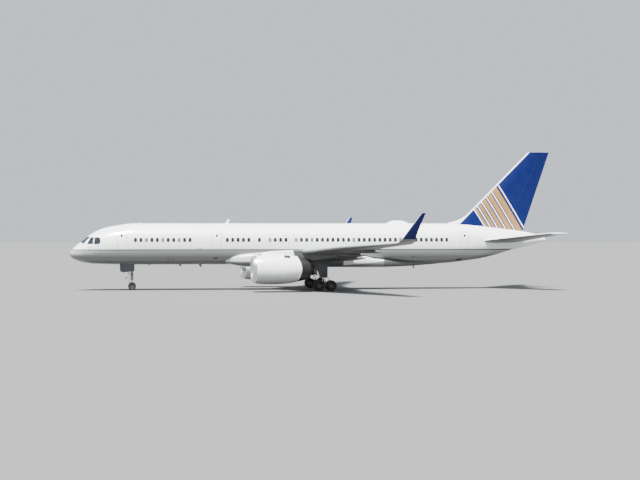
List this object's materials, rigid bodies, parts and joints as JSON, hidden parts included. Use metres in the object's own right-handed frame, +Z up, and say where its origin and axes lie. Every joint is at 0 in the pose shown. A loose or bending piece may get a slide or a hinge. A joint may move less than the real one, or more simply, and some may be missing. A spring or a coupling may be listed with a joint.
{
  "type": "airliner, half-scale model",
  "caption": "Twin-engine narrow-body airliner at half scale, with blended winglets, parked on its landing gear.",
  "frame": {"origin": "on the ground, under the middle of the aircraft's box", "axes": "+X aft along the body, +Y to starboard along the span, +Z up"},
  "size_m": [23.66, 20.5646, 6.78],
  "materials": {
    "white_paint": "gloss",
    "grey_paint": "satin",
    "blue_paint": "gloss",
    "bare_aluminium": "polished",
    "hot_metal": "heat stained",
    "fan_titanium": "satin",
    "gear_enamel": "gloss",
    "tyre_rubber": "matt"
  },
  "bodies": {
    "airframe": {"radome": "white_paint", "fuselage_forward": "white_paint", "fuselage_aft": "white_paint", "tail_cone": "white_paint", "wing_body_fairing": "grey_paint", "fin": "blue_paint", "nose_leg": "gear_enamel", "wing_left": "grey_paint", "winglet_left": "blue_paint", "tailplane_left": "grey_paint", "pylon_left": "white_paint", "inlet_lip_left": "bare_aluminium", "cowl_left": "white_paint", "nozzle_left": "hot_metal", "engine_core_left": "hot_metal", "nose_gear_door_left": "white_paint", "main_leg_left": "gear_enamel", "bogie_left": "gear_enamel", "passenger_door_1_left": "white_paint", "passenger_door_2_left": "white_paint", "passenger_door_4_left": "white_paint", "wing_right": "grey_paint", "winglet_right": "blue_paint", "tailplane_right": "grey_paint", "pylon_right": "white_paint", "inlet_lip_right": "bare_aluminium", "cowl_right": "white_paint", "nozzle_right": "hot_metal", "engine_core_right": "hot_metal", "nose_gear_door_right": "white_paint", "main_leg_right": "gear_enamel", "bogie_right": "gear_enamel", "passenger_door_1_right": "white_paint", "passenger_door_2_right": "white_paint", "passenger_door_4_right": "white_paint"},
    "nose_steering_body": {"nose_fork": "gear_enamel"},
    "nose_wheels": {"nose_wheel_axle": "gear_enamel", "nose_tyre_left": "tyre_rubber", "nose_tyre_right": "tyre_rubber"},
    "main_wheels_left_front": {"main_axle_left_front": "gear_enamel", "main_tyre_left_front_left": "tyre_rubber", "main_tyre_left_front_right": "tyre_rubber"},
    "main_wheels_left_rear": {"main_axle_left_rear": "gear_enamel", "main_tyre_left_rear_left": "tyre_rubber", "main_tyre_left_rear_right": "tyre_rubber"},
    "main_wheels_right_front": {"main_axle_right_front": "gear_enamel", "main_tyre_right_front_left": "tyre_rubber", "main_tyre_right_front_right": "tyre_rubber"},
    "main_wheels_right_rear": {"main_axle_right_rear": "gear_enamel", "main_tyre_right_rear_left": "tyre_rubber", "main_tyre_right_rear_right": "tyre_rubber"},
    "fan_rotor_left": {"fan_left": "fan_titanium"},
    "fan_rotor_right": {"fan_right": "fan_titanium"},
    "rudder_body": {"rudder": "blue_paint"},
    "elevator_body_left": {"elevator_left": "grey_paint"},
    "elevator_body_right": {"elevator_right": "grey_paint"},
    "aileron_body_left": {"aileron_left": "grey_paint"},
    "aileron_body_right": {"aileron_right": "grey_paint"},
    "cargo_door_body_forward": {"cargo_door_forward": "white_paint"},
    "cargo_door_body_aft": {"cargo_door_aft": "white_paint"}
  },
  "joints": [
    {"name": "nose_steering", "type": "hinge", "parent": "airframe", "child": "nose_steering_body", "pos_m": [-8.86, 0, 0.45229], "axis": [0, 0, 1], "range_deg": [-65, 65]},
    {"name": "nose_wheel_spin", "type": "hinge", "parent": "nose_steering_body", "child": "nose_wheels", "pos_m": [-8.86, 0, 0.19457], "axis": [0, 1, 0], "continuous": true},
    {"name": "main_wheel_spin_left_front", "type": "hinge", "parent": "airframe", "child": "main_wheels_left_front", "pos_m": [-0.00075, -1.83, 0.25087], "axis": [0, 1, 0], "continuous": true},
    {"name": "main_wheel_spin_left_rear", "type": "hinge", "parent": "airframe", "child": "main_wheels_left_rear", "pos_m": [0.57075, -1.83, 0.25087], "axis": [0, 1, 0], "continuous": true},
    {"name": "fan_spin_left", "type": "hinge", "parent": "airframe", "child": "fan_rotor_left", "pos_m": [-2.855, -3.25, 1.075], "axis": [1, 0, 0], "continuous": true},
    {"name": "elevator_hinge_left", "type": "hinge", "parent": "airframe", "child": "elevator_body_left", "pos_m": [10.64258, -2.1925, 2.56373], "axis": [0.4431, -0.8905, 0.1032], "range_deg": [-24, 18]},
    {"name": "aileron_hinge_left", "type": "hinge", "parent": "airframe", "child": "aileron_body_left", "pos_m": [2.56171, -8.1625, 2.22852], "axis": [0.3006, -0.9518, 0.0603], "range_deg": [-20, 20]},
    {"name": "main_wheel_spin_right_front", "type": "hinge", "parent": "airframe", "child": "main_wheels_right_front", "pos_m": [-0.00075, 1.83, 0.25087], "axis": [0, 1, 0], "continuous": true},
    {"name": "main_wheel_spin_right_rear", "type": "hinge", "parent": "airframe", "child": "main_wheels_right_rear", "pos_m": [0.57075, 1.83, 0.25087], "axis": [0, 1, 0], "continuous": true},
    {"name": "fan_spin_right", "type": "hinge", "parent": "airframe", "child": "fan_rotor_right", "pos_m": [-2.855, 3.25, 1.075], "axis": [1, 0, 0], "continuous": true},
    {"name": "elevator_hinge_right", "type": "hinge", "parent": "airframe", "child": "elevator_body_right", "pos_m": [10.64258, 2.1925, 2.56373], "axis": [0.4431, 0.8905, 0.1032], "range_deg": [-18, 24]},
    {"name": "aileron_hinge_right", "type": "hinge", "parent": "airframe", "child": "aileron_body_right", "pos_m": [2.56171, 8.1625, 2.22852], "axis": [0.3006, 0.9518, 0.0603], "range_deg": [-20, 20]},
    {"name": "rudder_hinge", "type": "hinge", "parent": "airframe", "child": "rudder_body", "pos_m": [10.36176, 0, 4.75], "axis": [0.485, 0, 0.8745], "range_deg": [-26, 26]},
    {"name": "cargo_door_hinge_forward", "type": "hinge", "parent": "airframe", "child": "cargo_door_body_forward", "pos_m": [-7.12, 0.90522, 1.91], "axis": [1, 0, 0], "range_deg": [0, 100]},
    {"name": "cargo_door_hinge_aft", "type": "hinge", "parent": "airframe", "child": "cargo_door_body_aft", "pos_m": [4.2, 0.90482, 1.91], "axis": [1, 0, 0], "range_deg": [0, 100]}
  ]
}
